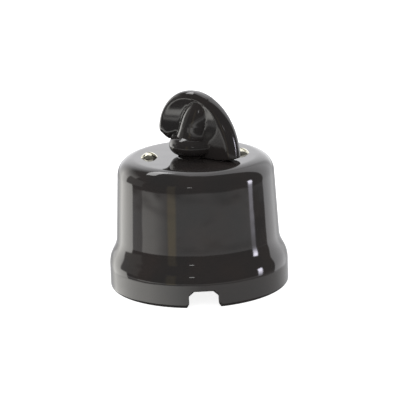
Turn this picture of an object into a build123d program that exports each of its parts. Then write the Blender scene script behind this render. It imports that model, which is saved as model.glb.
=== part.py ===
"""Surface-mounted rotary light switch: a glazed porcelain cover and wing knob over a porcelain base.

Millimetres, +Z up. The origin is on the spindle's axis, in the plane of the wall face.
The cable notch points to -Y, and the two cover screws stand on the X axis.
"""
import math
import os

from build123d import *

os.makedirs("parts", exist_ok=True)

# Porcelain cover: a drum that leans in a little, on a flared rim
rim_radius = 32.5
rim_height = 7.8
flare_height = 10.6
flare_share = 0.5
body_foot_radius = 29.55
body_top_radius = 28.0
cover_height = 47.3
shoulder_radius = 6.5
rim_wall = 5.1
body_wall = 3.8
cover_top = 5.5
ceiling_fillet = 3.0
mouth_taper = 6.0
rim_edge = 0.8

# Cable notch in the rim
notch_foot_width = 12.2
notch_width = 10.4
notch_crown_width = 6.2
notch_height = 6.3
notch_bevel = 1.6
notch_shoulder = 1.9

# Porcelain base
base_gap = 0.4
base_thickness = 11.0
slot_depth = 13.0
base_edge = 0.8
mount_circle = 43.0
mount_angle = 22.5
mount_hole_radius = 2.2
mount_head_height = 3.0
head_recess = 4.6

# Pillars, bridge and bearing
pillar_margin = 7.7
pillar_radius = 5.0
pillar_clearance = 2.0
stud_radius = 3.0
bridge_thickness = 2.0
bridge_width = 11.0
bridge_disc_radius = 12.5
nut_flats = 10.0
nut_height = 4.0
bush_wall = 1.5
bush_flange = 1.7
bush_flange_height = 1.2

# Spindle
spindle_radius = 3.0
journal_radius = 2.5
journal_depth = 7.0
thrust_radius = 5.0
thrust_height = 1.5
washer_thickness = 1.0
washer_margin = 0.5
flat_offset = 2.2
spindle_reach = 7.0
grip_slit = 0.8
grip_depth = 6.0

# Rotor with its detent cam and contact segments
drum_height = 11.0
cam_width = 9.0
cam_height = 5.8
cam_corner = 1.2
segment_span = 126.0
segment_depth = 1.2
segment_height = 7.0
spring_thickness = 0.6
spring_height = 4.6
spring_lift = 0.8
spring_mouth = 7.0

# Stop arm and its pins, which end the quarter turn
turn_range = 90.0
stop_middle_angle = 90.0
stop_circle_radius = 9.5
stop_pin_radius = 1.25
stop_arm_width = 4.0
stop_arm_thickness = 1.5
stop_hub_radius = 6.0
stop_tip_margin = 0.3

# Terminals and contact fingers
terminal_angles = {"back_right": 45.0, "back_left": 135.0, "front_left": 225.0, "front_right": 315.0}
terminal_clearance = 3.0
terminal_size = 8.0
terminal_height = 10.0
wire_hole_radius = 1.6
wire_hole_height = 5.1
finger_thickness = 0.5
finger_width = 5.0
finger_inset = 0.5
finger_bend = 0.8
finger_stand = 4.0
finger_contact_height = 6.0
finger_lip = 1.8
finger_flick = 0.75

# Screws
cover_screw_radius = 1.5
cover_screw_length = 15.0
cover_head_radius = 3.05
cover_head_height = 1.7
pillar_screw_radius = 2.0
pillar_screw_grip = 8.0
pillar_head_radius = 3.5
pillar_head_height = 2.2
terminal_screw_radius = 1.5
terminal_head_radius = 2.6
terminal_head_height = 2.0
fixing_grip = 2.6
slot_width = 0.8
slot_share = 0.5

# Wing knob, heights counted from the cover's top
knob_angle = -40.0
wing_height = 23.7
wing_middle = -0.4
heel_reach = 14.7
nose_reach = 19.6
wing_thickness = 6.6
wing_edge = 2.8
heel_waist = 7.6
heel_keel = 10.6
heel_clearance = 4.7
nose_clearance = 1.1
nose_keel = 13.5
heel_corner = 2.0
scoop_depth = 1.1
scoop_height = 13.5
scoop_radius = 33.0
scoop_reach = 16.0
scoop_rise = 1.6
hub_foot_radius = 6.6
hub_foot_height = 7.4
hub_belly_radius = 6.0
hub_belly_height = 12.7
hub_shoulder_radius = 4.9
hub_shoulder_height = 17.5
hub_brow_radius = 3.3
hub_brow_height = 19.8
hub_tip_radius = 1.3
hub_tip_height = 20.9
hub_lean = 0.28
collar_radius = 9.3
collar_height = 4.4
neck_radius = 5.6
neck_height = 0.9
neck_drop = 1.5
insert_radius = 4.0
insert_reach = 7.4

# Clearances
running_gap = 0.03
press_gap = 0.02
screw_gap = 0.05
hole_gap = 0.2
contact_gap = 0.1
seat_gap = 0.05
end_gap = 0.3
neck_gap = 0.5
nose_gap = 0.3
rotor_gap = 0.7

# Levels and sizes that follow from the ones above
seat_radius = rim_radius - rim_wall
base_radius = seat_radius - base_gap
cavity_radius = body_top_radius - body_wall
pillar_offset = cavity_radius - pillar_margin
screw_spacing = 2 * pillar_offset
drum_radius = pillar_offset - pillar_radius - pillar_clearance
terminal_circle_radius = drum_radius + terminal_clearance + terminal_size / 2
ceiling = cover_height - cover_top
mouth_height = base_thickness + mount_head_height
flare_top = rim_height + flare_height
body_lean = (body_foot_radius - body_top_radius) / (cover_height - flare_top)
washer_top = base_thickness + washer_thickness
thrust_bottom = washer_top + seat_gap
rotor_bottom = thrust_bottom + thrust_height
drum_top = rotor_bottom + drum_height
cam_top = drum_top + cam_height
bridge_bottom = cam_top + rotor_gap
bridge_top = bridge_bottom + bridge_thickness
bush_radius = spindle_radius + running_gap + bush_wall
bush_top = bridge_top + bush_flange_height
stop_bottom = bush_top + contact_gap
stop_top = stop_bottom + stop_arm_thickness
neck_bottom = cover_height - neck_drop
spindle_top = cover_height + spindle_reach
square_width = 2 * spindle_radius
spring_bottom = drum_top + spring_lift
spring_radius = cam_width / 2 + seat_gap
pillar_neck_radius = cam_width / 2
screw_planes = [Plane((side * pillar_offset, 0, 0)) for side in (-1, 1)]
terminal_bottom = base_thickness + finger_thickness
terminal_top = terminal_bottom + terminal_height
wire_hole_level = terminal_bottom + wire_hole_height
segment_bottom = rotor_bottom + (drum_height - segment_height) / 2
segment_middles = {"back": 90.0, "front": 270.0}
stop_arm_reach = stop_circle_radius + stop_pin_radius + stop_tip_margin
stop_pin_offset = stop_arm_width / 2 + stop_pin_radius + end_gap
stop_pin_swing = math.degrees(math.asin(stop_pin_offset / stop_circle_radius))
stop_pin_angles = [stop_middle_angle + side * (turn_range / 2 + stop_pin_swing) for side in (-1, 1)]
finger_end_radius = terminal_circle_radius + terminal_size / 2 - finger_inset
finger_stand_radius = terminal_circle_radius - terminal_size / 2 - finger_inset - finger_thickness / 2
finger_touch_radius = drum_radius + contact_gap + finger_thickness / 2
scoop_floor = wing_thickness / 2 - scoop_depth
scoop_axis = scoop_floor + scoop_radius
knob_turn = math.radians(knob_angle)
nose_direction = (math.cos(knob_turn), math.sin(knob_turn), 0)
wing_normal = (math.sin(knob_turn), -math.cos(knob_turn), 0)
wing_plane = Plane((0, 0, cover_height), x_dir=nose_direction, z_dir=wing_normal)
hub_sections = [
    (hub_foot_height, hub_foot_radius),
    (hub_belly_height, hub_belly_radius),
    (hub_shoulder_height, hub_shoulder_radius),
    (hub_brow_height, hub_brow_radius),
    (hub_tip_height, hub_tip_radius),
]
scoop_middle = wing_plane.from_local_coords((wing_middle, scoop_height, 0))
scoop_plane = Plane(scoop_middle, x_dir=nose_direction, z_dir=(0, 0, 1))


def d_profile(level, radius, flat):
    """Round section with one flat that faces the knob's nose."""
    with BuildSketch(Plane((0, 0, level), x_dir=nose_direction, z_dir=(0, 0, 1))) as profile:
        Circle(radius)
        with Locations((flat + radius, 0)):
            Rectangle(2 * radius, 2 * radius, mode=Mode.SUBTRACT)
    return profile.sketch


def segment_profile(middle, grow):
    """Arc section of a contact segment, grown on its hidden sides for the pocket that holds it."""
    half_span = segment_span / 2 + math.degrees(grow / drum_radius)
    with BuildSketch(Plane.XY.offset(segment_bottom - grow)) as profile:
        with BuildLine():
            outer = CenterArc((0, 0), drum_radius, middle - half_span, 2 * half_span)
            inner = CenterArc((0, 0), drum_radius - segment_depth - grow, middle - half_span, 2 * half_span)
            Line(outer @ 0, inner @ 0)
            Line(outer @ 1, inner @ 1)
        make_face()
    return profile.sketch


def radial_plane(angle, level):
    """Level plane whose x axis points outwards at the angle."""
    turn = math.radians(angle)
    return Plane((0, 0, level), x_dir=(math.cos(turn), math.sin(turn), 0), z_dir=(0, 0, 1))


def upright_plane(angle):
    """Upright plane through the spindle's axis: x points outwards at the angle, y points up."""
    turn = math.radians(angle)
    outwards = (math.cos(turn), math.sin(turn), 0)
    sideways = (math.sin(turn), -math.cos(turn), 0)
    return Plane((0, 0, 0), x_dir=outwards, z_dir=sideways)


def polar_point(radius, angle, level):
    """Point on a circle about the spindle's axis."""
    turn = math.radians(angle)
    return (radius * math.cos(turn), radius * math.sin(turn), level)


fixing_planes = [Plane(polar_point(terminal_circle_radius, angle, 0)) for angle in terminal_angles.values()]
stop_pin_points = [polar_point(stop_circle_radius, angle, 0) for angle in stop_pin_angles]


# Cover: revolved shell with a smooth S between the rim and the body
with BuildPart() as cover:
    with BuildSketch(Plane.XZ):
        with BuildLine():
            arm = flare_share * flare_height
            Polyline((0, cover_height), (0, 0), (rim_radius, 0), (rim_radius, rim_height))
            Bezier(
                (rim_radius, rim_height),
                (rim_radius, rim_height + arm),
                (body_foot_radius + arm * body_lean, flare_top - arm),
                (body_foot_radius, flare_top),
            )
            Polyline((body_foot_radius, flare_top), (body_top_radius, cover_height), (0, cover_height))
        make_face()
    revolve(axis=Axis.Z)
    fillet(cover.faces().sort_by(Axis.Z)[-1].edges(), shoulder_radius)
    with BuildSketch(Plane.XZ):
        with BuildLine():
            Polyline(
                (0, 0),
                (seat_radius, 0),
                (seat_radius, mouth_height),
                (cavity_radius, mouth_height + mouth_taper),
                (cavity_radius, ceiling),
                (0, ceiling),
                close=True,
            )
        make_face()
    revolve(axis=Axis.Z, mode=Mode.SUBTRACT)
    ceiling_edge = cover.edges().filter_by(GeomType.CIRCLE).filter_by(
        lambda edge: abs(edge.center().Z - ceiling) < seat_gap and abs(edge.radius - cavity_radius) < seat_gap
    )
    fillet(ceiling_edge, ceiling_fillet)
    with Locations((0, 0, cover_height)):
        Hole(neck_radius + neck_gap, depth=2 * cover_top)
    with Locations(*[plane.offset(cover_height) for plane in screw_planes]):
        Hole(cover_screw_radius + hole_gap, depth=2 * cover_top)
    with BuildSketch(Plane.XZ.offset(seat_radius - base_edge)):
        with BuildLine():
            Polyline(
                (-notch_foot_width / 2, 0),
                (notch_foot_width / 2, 0),
                (notch_width / 2, notch_bevel),
                (notch_width / 2, notch_height - notch_shoulder),
                (notch_crown_width / 2, notch_height),
                (-notch_crown_width / 2, notch_height),
                (-notch_width / 2, notch_height - notch_shoulder),
                (-notch_width / 2, notch_bevel),
                close=True,
            )
        make_face()
    extrude(amount=2 * rim_wall, mode=Mode.SUBTRACT)
    foot_edges = cover.edges().filter_by(GeomType.CIRCLE).group_by(Axis.Z)[0]
    fillet(foot_edges.filter_by(lambda edge: edge.radius > seat_radius + seat_gap), rim_edge)
cover.part.label = "cover"
export_step(cover.part, "parts/cover.step")

# Cover screws: slotted dome heads
with BuildPart() as cover_screws:
    for plane in screw_planes:
        with BuildSketch(plane.offset(cover_height)):
            Circle(cover_screw_radius)
        extrude(amount=-cover_screw_length)
        dome_radius = (cover_head_radius**2 + cover_head_height**2) / (2 * cover_head_height)
        with BuildSketch(Plane(plane.origin, x_dir=(1, 0, 0), z_dir=(0, -1, 0))):
            with BuildLine():
                dome_edge = (cover_head_radius, cover_height)
                dome = RadiusArc(dome_edge, (0, cover_height + cover_head_height), -dome_radius)
                Polyline(dome @ 1, (0, cover_height), dome_edge)
            make_face()
        revolve(axis=Axis(plane.origin, (0, 0, 1)))
        with BuildSketch(plane.offset(cover_height + cover_head_height)):
            Rectangle(2 * cover_head_radius, slot_width, rotation=knob_angle)
        extrude(amount=-cover_head_height * slot_share, mode=Mode.SUBTRACT)
cover_screws.part.label = "cover_screws"
export_step(cover_screws.part, "parts/cover_screws.step")

# Base: disc with the cable slot, recessed screw holes below and the spindle's blind bearing
with BuildPart() as base:
    with BuildSketch():
        Circle(base_radius)
    extrude(amount=base_thickness)
    chamfer(base.edges().filter_by(GeomType.CIRCLE).sort_by(Axis.Z)[-1], base_edge)
    with BuildSketch():
        with Locations((0, slot_depth - base_radius)):
            Rectangle(notch_foot_width, 2 * base_radius, align=(Align.CENTER, Align.MAX))
    extrude(amount=base_thickness, mode=Mode.SUBTRACT)
    with Locations((0, 0, base_thickness)):
        Hole(journal_radius + running_gap, depth=journal_depth + end_gap)
    with PolarLocations(mount_circle / 2, 2, start_angle=mount_angle):
        Hole(mount_hole_radius, depth=2 * base_thickness)
    with Locations(*[-plane for plane in screw_planes]):
        CounterBoreHole(
            pillar_screw_radius + hole_gap, pillar_head_radius + hole_gap, head_recess, 2 * base_thickness
        )
    with Locations(*[-plane for plane in fixing_planes]):
        CounterBoreHole(
            terminal_screw_radius + hole_gap, terminal_head_radius + hole_gap, head_recess, 2 * base_thickness
        )
base.part.label = "base"
export_step(base.part, "parts/base.step")

# Pillars: brass, stepped for the spring, with a stud for the bridge and a thread for the cover screw
for name, plane in zip(("pillar_left", "pillar_right"), screw_planes):
    with BuildPart() as pillar:
        with BuildSketch(plane.offset(base_thickness)):
            Circle(pillar_radius)
        extrude(amount=spring_bottom - base_thickness)
        with BuildSketch(plane.offset(spring_bottom)):
            Circle(pillar_neck_radius)
        extrude(amount=bridge_bottom - spring_bottom)
        with BuildSketch(plane.offset(bridge_bottom)):
            Circle(stud_radius)
        extrude(amount=ceiling - bridge_bottom)
        with Locations(plane.offset(ceiling)):
            Hole(cover_screw_radius + screw_gap, depth=cover_screw_length - cover_top + end_gap)
        with Locations(-plane.offset(base_thickness)):
            Hole(pillar_screw_radius + screw_gap, depth=pillar_screw_grip + end_gap)
    pillar.part.label = name
    export_step(pillar.part, f"parts/{name}.step")

# Pillar screws, driven from under the base
with BuildPart() as pillar_screws:
    for plane in screw_planes:
        with BuildSketch(plane.offset(head_recess)):
            Circle(pillar_screw_radius)
        extrude(amount=base_thickness - head_recess + pillar_screw_grip)
        with BuildSketch(plane.offset(head_recess)):
            Circle(pillar_head_radius)
        extrude(amount=-pillar_head_height)
        with BuildSketch(plane.offset(head_recess - pillar_head_height)):
            Rectangle(2 * pillar_head_radius, slot_width)
        extrude(amount=pillar_head_height * slot_share, mode=Mode.SUBTRACT)
pillar_screws.part.label = "pillar_screws"
export_step(pillar_screws.part, "parts/pillar_screws.step")

# Bridge: steel plate across the pillars that carries the bearing
with BuildPart() as bridge:
    with BuildSketch(Plane.XY.offset(bridge_bottom)):
        SlotCenterToCenter(screw_spacing, bridge_width)
        Circle(bridge_disc_radius)
        Circle(bush_radius + press_gap, mode=Mode.SUBTRACT)
        with Locations((-pillar_offset, 0), (pillar_offset, 0)):
            Circle(stud_radius + screw_gap, mode=Mode.SUBTRACT)
        with Locations(*stop_pin_points):
            Circle(stop_pin_radius + press_gap, mode=Mode.SUBTRACT)
    extrude(amount=bridge_thickness)
bridge.part.label = "bridge"
export_step(bridge.part, "parts/bridge.step")

# Bridge nuts on the pillars' studs
with BuildPart() as bridge_nuts:
    for plane in screw_planes:
        with BuildSketch(plane.offset(bridge_top)):
            RegularPolygon(nut_flats / 2, 6, major_radius=False)
            Circle(stud_radius + screw_gap, mode=Mode.SUBTRACT)
        extrude(amount=nut_height)
bridge_nuts.part.label = "bridge_nuts"
export_step(bridge_nuts.part, "parts/bridge_nuts.step")

# Bearing bush, pressed into the bridge from above
with BuildPart() as bearing_bush:
    with BuildSketch(Plane.XY.offset(bridge_bottom)):
        Circle(bush_radius)
    extrude(amount=bridge_thickness)
    with BuildSketch(Plane.XY.offset(bridge_top)):
        Circle(bush_radius + bush_flange)
    extrude(amount=bush_flange_height)
    with Locations((0, 0, bush_top)):
        Hole(spindle_radius + running_gap, depth=2 * bridge_top)
bearing_bush.part.label = "bearing_bush"
export_step(bearing_bush.part, "parts/bearing_bush.step")

# Stop pins, riveted into the bridge on either side of the stop arm's sweep
with BuildPart() as stop_pins:
    with BuildSketch(Plane.XY.offset(bridge_bottom)):
        with Locations(*stop_pin_points):
            Circle(stop_pin_radius)
    extrude(amount=stop_top - bridge_bottom + end_gap)
stop_pins.part.label = "stop_pins"
export_step(stop_pins.part, "parts/stop_pins.step")

# Thrust washer under the spindle's shoulder
with BuildPart() as thrust_washer:
    with BuildSketch(Plane.XY.offset(base_thickness)):
        Circle(thrust_radius + washer_margin)
        Circle(journal_radius + hole_gap, mode=Mode.SUBTRACT)
    extrude(amount=washer_thickness)
thrust_washer.part.label = "thrust_washer"
export_step(thrust_washer.part, "parts/thrust_washer.step")

# Spindle: journal, thrust shoulder, square for the rotor, bearing length and a split end with a flat
with BuildPart() as spindle:
    with BuildSketch(Plane.XY.offset(base_thickness - journal_depth)):
        Circle(journal_radius)
    extrude(amount=journal_depth + thrust_bottom - base_thickness)
    with BuildSketch(Plane.XY.offset(thrust_bottom)):
        Circle(thrust_radius)
    extrude(amount=thrust_height)
    with BuildSketch(Plane.XY.offset(rotor_bottom)):
        Rectangle(square_width, square_width)
    extrude(amount=bridge_bottom - end_gap - rotor_bottom)
    with BuildSketch(Plane.XY.offset(bridge_bottom - end_gap)):
        Circle(spindle_radius)
    extrude(amount=stop_bottom - bridge_bottom + end_gap)
    extrude(d_profile(stop_bottom, spindle_radius, flat_offset), amount=spindle_top - stop_bottom)
    with BuildSketch(Plane((0, 0, spindle_top), x_dir=nose_direction, z_dir=(0, 0, 1))):
        Rectangle(2 * spindle_radius, grip_slit)
    extrude(amount=-grip_depth, mode=Mode.SUBTRACT)
spindle.part.label = "spindle"
export_step(spindle.part, "parts/spindle.step")

# Stop arm on the spindle's flat
with BuildPart() as stop_arm:
    with BuildSketch(radial_plane(stop_middle_angle + turn_range / 2, stop_bottom)):
        Circle(stop_hub_radius)
        Rectangle(stop_arm_reach, stop_arm_width, align=(Align.MIN, Align.CENTER))
    extrude(amount=stop_arm_thickness)
    stop_hole = d_profile(stop_bottom, spindle_radius + seat_gap, flat_offset + seat_gap)
    extrude(stop_hole, amount=stop_arm_thickness, mode=Mode.SUBTRACT)
stop_arm.part.label = "stop_arm"
export_step(stop_arm.part, "parts/stop_arm.step")

# Rotor: moulded drum with pockets for the contact segments and a square detent cam
with BuildPart() as rotor:
    with BuildSketch(Plane.XY.offset(rotor_bottom)):
        Circle(drum_radius)
    extrude(amount=drum_height)
    with BuildSketch(Plane.XY.offset(drum_top)):
        RectangleRounded(cam_width, cam_width, cam_corner)
    extrude(amount=cam_height)
    with BuildSketch(Plane.XY.offset(rotor_bottom)):
        Rectangle(square_width + 2 * seat_gap, square_width + 2 * seat_gap)
    extrude(amount=drum_height + cam_height, mode=Mode.SUBTRACT)
    for middle in segment_middles.values():
        extrude(segment_profile(middle, seat_gap), amount=segment_height + 2 * seat_gap, mode=Mode.SUBTRACT)
rotor.part.label = "rotor"
export_step(rotor.part, "parts/rotor.step")

# Contact segments in the drum, each long enough to join two fingers
for side, middle in segment_middles.items():
    with BuildPart() as segment:
        extrude(segment_profile(middle, 0), amount=segment_height)
    segment.part.label = f"contact_segment_{side}"
    export_step(segment.part, f"parts/contact_segment_{side}.step")

# Detent spring: a flat hairpin round the pillars that grips the cam's flats
with BuildPart() as detent_spring:
    with BuildSketch(Plane.XY.offset(spring_bottom)):
        SlotCenterToCenter(screw_spacing, 2 * (spring_radius + spring_thickness))
        SlotCenterToCenter(screw_spacing, 2 * spring_radius, mode=Mode.SUBTRACT)
        with Locations((-pillar_offset, 0)):
            Rectangle(2 * pillar_radius, spring_mouth, align=(Align.MAX, Align.CENTER), mode=Mode.SUBTRACT)
    extrude(amount=spring_height)
detent_spring.part.label = "detent_spring"
export_step(detent_spring.part, "parts/detent_spring.step")

# Terminals: brass blocks, each with a wire hole, a clamp thread above and a fixing thread below
for place, angle in terminal_angles.items():
    with BuildPart() as terminal:
        with BuildSketch(radial_plane(angle, terminal_bottom)):
            with Locations((terminal_circle_radius, 0)):
                Rectangle(terminal_size, terminal_size)
        extrude(amount=terminal_height)
        with BuildSketch(upright_plane(angle)):
            with Locations((terminal_circle_radius, wire_hole_level)):
                Circle(wire_hole_radius)
        extrude(amount=terminal_size, both=True, mode=Mode.SUBTRACT)
        with BuildSketch(radial_plane(angle, terminal_top)):
            with Locations((terminal_circle_radius, 0)):
                Circle(terminal_screw_radius + screw_gap)
        extrude(amount=wire_hole_level - terminal_top, mode=Mode.SUBTRACT)
        with BuildSketch(radial_plane(angle, terminal_bottom)):
            with Locations((terminal_circle_radius, 0)):
                Circle(terminal_screw_radius + screw_gap)
        extrude(amount=fixing_grip + end_gap, mode=Mode.SUBTRACT)
    terminal.part.label = f"terminal_{place}"
    export_step(terminal.part, f"parts/terminal_{place}.step")

# Contact fingers: bronze strips held under the terminals, bent up to press on the drum
for place, angle in terminal_angles.items():
    with BuildPart() as finger:
        with BuildSketch(upright_plane(angle)):
            with BuildLine():
                FilletPolyline(
                    (finger_end_radius, base_thickness + finger_thickness / 2),
                    (finger_stand_radius, base_thickness + finger_thickness / 2),
                    (finger_stand_radius, base_thickness + finger_stand),
                    (finger_touch_radius, rotor_bottom + finger_contact_height),
                    (finger_touch_radius + finger_flick, rotor_bottom + finger_contact_height + finger_lip),
                    radius=finger_bend,
                )
            trace(line_width=finger_thickness)
        extrude(amount=finger_width / 2, both=True)
        with BuildSketch(radial_plane(angle, base_thickness)):
            with Locations((terminal_circle_radius, 0)):
                Circle(terminal_screw_radius + hole_gap)
        extrude(amount=finger_thickness, mode=Mode.SUBTRACT)
    finger.part.label = f"contact_finger_{place}"
    export_step(finger.part, f"parts/contact_finger_{place}.step")

# Terminal screws: slotted clamp screws that press on the wire
with BuildPart() as terminal_screws:
    for plane in fixing_planes:
        with BuildSketch(plane.offset(terminal_top)):
            Circle(terminal_screw_radius)
        extrude(amount=wire_hole_level + wire_hole_radius - terminal_top)
        with BuildSketch(plane.offset(terminal_top)):
            Circle(terminal_head_radius)
        extrude(amount=terminal_head_height)
        with BuildSketch(plane.offset(terminal_top + terminal_head_height)):
            Rectangle(2 * terminal_head_radius, slot_width)
        extrude(amount=-terminal_head_height * slot_share, mode=Mode.SUBTRACT)
terminal_screws.part.label = "terminal_screws"
export_step(terminal_screws.part, "parts/terminal_screws.step")

# Terminal fixings: screws from under the base, through the fingers into the blocks
with BuildPart() as terminal_fixings:
    for plane in fixing_planes:
        with BuildSketch(plane.offset(head_recess)):
            Circle(terminal_screw_radius)
        extrude(amount=terminal_bottom + fixing_grip - head_recess)
        with BuildSketch(plane.offset(head_recess)):
            Circle(terminal_head_radius)
        extrude(amount=-terminal_head_height)
        with BuildSketch(plane.offset(head_recess - terminal_head_height)):
            Rectangle(2 * terminal_head_radius, slot_width)
        extrude(amount=terminal_head_height * slot_share, mode=Mode.SUBTRACT)
terminal_fixings.part.label = "terminal_fixings"
export_step(terminal_fixings.part, "parts/terminal_fixings.step")

# Knob: a dished wing with a low nose and a high heel, a hub that leans to the nose, a collar and a neck
with BuildPart() as knob:
    with BuildSketch(wing_plane) as wing:
        with BuildLine():
            heel_rise = wing_height - heel_waist
            nose_rise = wing_height - nose_clearance
            heel_middle = (wing_middle, heel_waist)
            nose_middle = (wing_middle, nose_clearance)
            heel_arc = EllipticalCenterArc(heel_middle, heel_reach, heel_rise, 90, arc_size=90)
            nose_arc = EllipticalCenterArc(nose_middle, nose_reach, nose_rise, 0, arc_size=90)
            Polyline(
                heel_arc @ 1,
                (-heel_keel, heel_clearance),
                (-neck_radius, heel_waist),
                (neck_radius, -wing_edge),
                (wing_middle + nose_reach, -wing_edge),
                nose_arc @ 0,
            )
        make_face()
        corners = wing.vertices().sort_by(Axis((0, 0, 0), nose_direction))
        fillet(corners[:2], heel_corner)
    extrude(amount=wing_thickness / 2, both=True)
    fillet(knob.faces().filter_by(Axis((0, 0, 0), wing_normal)).edges(), wing_edge)
    # The underside is cut level over the cover's top and rises to the end of the nose
    with BuildSketch(wing_plane):
        with BuildLine():
            Polyline(
                (0, nose_gap),
                (nose_keel, nose_gap),
                (wing_middle + nose_reach, nose_clearance),
                (2 * nose_reach, nose_clearance),
                (2 * nose_reach, -2 * wing_edge),
                (0, -2 * wing_edge),
                close=True,
            )
        make_face()
    extrude(amount=wing_thickness, both=True, mode=Mode.SUBTRACT)
    for side in (-1, 1):
        with BuildSketch(scoop_plane):
            with BuildLine():
                floor = ThreePointArc(
                    (-scoop_reach, side * (scoop_floor + scoop_rise)),
                    (0, side * scoop_floor),
                    (scoop_reach, side * (scoop_floor + scoop_rise)),
                )
                Polyline(
                    floor @ 0,
                    (-scoop_reach, side * scoop_axis),
                    (scoop_reach, side * scoop_axis),
                    floor @ 1,
                )
            make_face()
        scoop_point = scoop_plane.from_local_coords((0, side * scoop_axis, 0))
        revolve(axis=Axis(scoop_point, nose_direction), mode=Mode.SUBTRACT)
    with BuildSketch(wing_plane):
        with BuildLine():
            collar_bottom = (neck_radius, neck_height)
            hub_foot = (hub_foot_radius, hub_foot_height)
            Polyline((0, hub_foot_height), (0, -neck_drop), (neck_radius, -neck_drop), collar_bottom)
            ThreePointArc(collar_bottom, (collar_radius, collar_height), hub_foot)
            Line(hub_foot, (0, hub_foot_height))
        make_face()
    revolve(axis=Axis.Z)
    for level, radius in hub_sections:
        lean = hub_lean * (level - hub_foot_height)
        with BuildSketch(Plane(wing_plane.from_local_coords((lean, level, 0)), z_dir=(0, 0, 1))):
            Circle(radius)
    loft()
    with BuildSketch(Plane.XY.offset(neck_bottom)):
        Circle(insert_radius + seat_gap)
    extrude(amount=neck_drop + insert_reach + end_gap, mode=Mode.SUBTRACT)
knob.part.label = "knob"
export_step(knob.part, "parts/knob.step")

# Knob insert: brass, cemented in the knob's bore, with a flat that matches the spindle's
with BuildPart() as knob_insert:
    with BuildSketch(Plane.XY.offset(neck_bottom)):
        Circle(insert_radius)
    extrude(amount=neck_drop + insert_reach)
    insert_hole = d_profile(neck_bottom, spindle_radius + seat_gap, flat_offset + seat_gap)
    extrude(insert_hole, amount=neck_drop + insert_reach, mode=Mode.SUBTRACT)
knob_insert.part.label = "knob_insert"
export_step(knob_insert.part, "parts/knob_insert.step")
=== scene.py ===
"""Looks of a surface-mounted rotary light switch in black glazed porcelain.

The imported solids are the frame. The cover, the knob and the cover screws are modelled again at the solids'
sizes with finer surfaces, the works inside keep their solids, and a white studio stage lights them.
"""
import math
from collections import namedtuple

import bmesh
import bpy
from bpy.props import FloatProperty, FloatVectorProperty, IntProperty, PointerProperty
from mathutils import Matrix, Vector


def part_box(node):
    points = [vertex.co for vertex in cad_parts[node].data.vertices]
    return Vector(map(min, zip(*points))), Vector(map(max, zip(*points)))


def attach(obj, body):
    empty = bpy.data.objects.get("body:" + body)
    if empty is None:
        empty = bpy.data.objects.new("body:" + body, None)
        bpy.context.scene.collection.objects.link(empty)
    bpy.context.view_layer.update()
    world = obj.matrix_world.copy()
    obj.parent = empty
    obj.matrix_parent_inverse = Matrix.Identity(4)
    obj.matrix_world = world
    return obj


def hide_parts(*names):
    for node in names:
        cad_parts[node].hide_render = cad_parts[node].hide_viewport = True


bl_info = {
    "name": "Porcelain Rotary Switch",
    "version": (1, 0, 0),
    "blender": (4, 5, 0),
    "location": "View3D > Sidebar > Switch",
    "description": "Builds a black glazed rotary light switch around its packed solids",
    "category": "Object",
}

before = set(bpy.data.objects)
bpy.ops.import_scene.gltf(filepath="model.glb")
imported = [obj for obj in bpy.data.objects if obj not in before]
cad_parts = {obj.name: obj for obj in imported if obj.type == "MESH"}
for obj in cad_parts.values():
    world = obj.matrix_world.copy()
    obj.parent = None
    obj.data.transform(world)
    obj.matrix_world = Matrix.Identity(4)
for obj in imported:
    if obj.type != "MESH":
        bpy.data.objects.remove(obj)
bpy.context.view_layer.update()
cover_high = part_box("cover")[1]

MM = 0.001

# Solids that keep their shape, by metal
BRASS_WORKS = (
    "pillar_left", "pillar_right", "bridge_nuts", "bearing_bush", "spindle", "knob_insert",
    "terminal_back_right", "terminal_back_left", "terminal_front_left", "terminal_front_right",
    "terminal_screws", "terminal_fixings",
)
STEEL_WORKS = ("pillar_screws", "bridge", "stop_pins", "stop_arm", "thrust_washer", "detent_spring")
BRONZE_WORKS = (
    "contact_segment_front", "contact_segment_back", "contact_finger_back_right",
    "contact_finger_back_left", "contact_finger_front_left", "contact_finger_front_right",
)

# Steps along each stretch of an outline, and round each edge
RIM_EDGE_STEPS = 6
RIM_STEPS = 16
FLARE_STEPS = 28
BODY_STEPS = 24
SHOULDER_STEPS = 24
TOP_STEPS = 12
HOLE_EDGE_STEPS = 5
CEILING_STEPS = 8
DOME_STEPS = 14
SCREW_HOLE_SIDES = 48
NOTCH_EDGE_STEPS = 3
SCREW_EDGE_STEPS = 2

# Points of an outline and of a seam that lie closer than this are one point
OUTLINE_GAP = 1e-7
SEAM_GAP = 1e-6

# Angles in degrees above which an edge is sharp
COVER_SHARP = 40.0
KNOB_SHARP = 60.0
SCREW_SHARP = 35.0

# Shares of the cover's seat radius where the notch's cutter starts and beyond which the notch's edges lie
NOTCH_START = 0.8
NOTCH_DEPTH = 0.9

# How far outside the notch and under the screw's head an edge still counts as theirs
NOTCH_MARGIN = 1.0 * MM
HEAD_MARGIN = 0.01 * MM

# Length of the driver slot's cutter in head radii
SLOT_REACH = 4.0

# How much darker a metal's grain and a fired body's specks are, and how much rougher the specks
GRAIN_SHADE = 0.8
SPECK_SHADE = 0.86
SPECK_ROUGHNESS = 0.15

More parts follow.
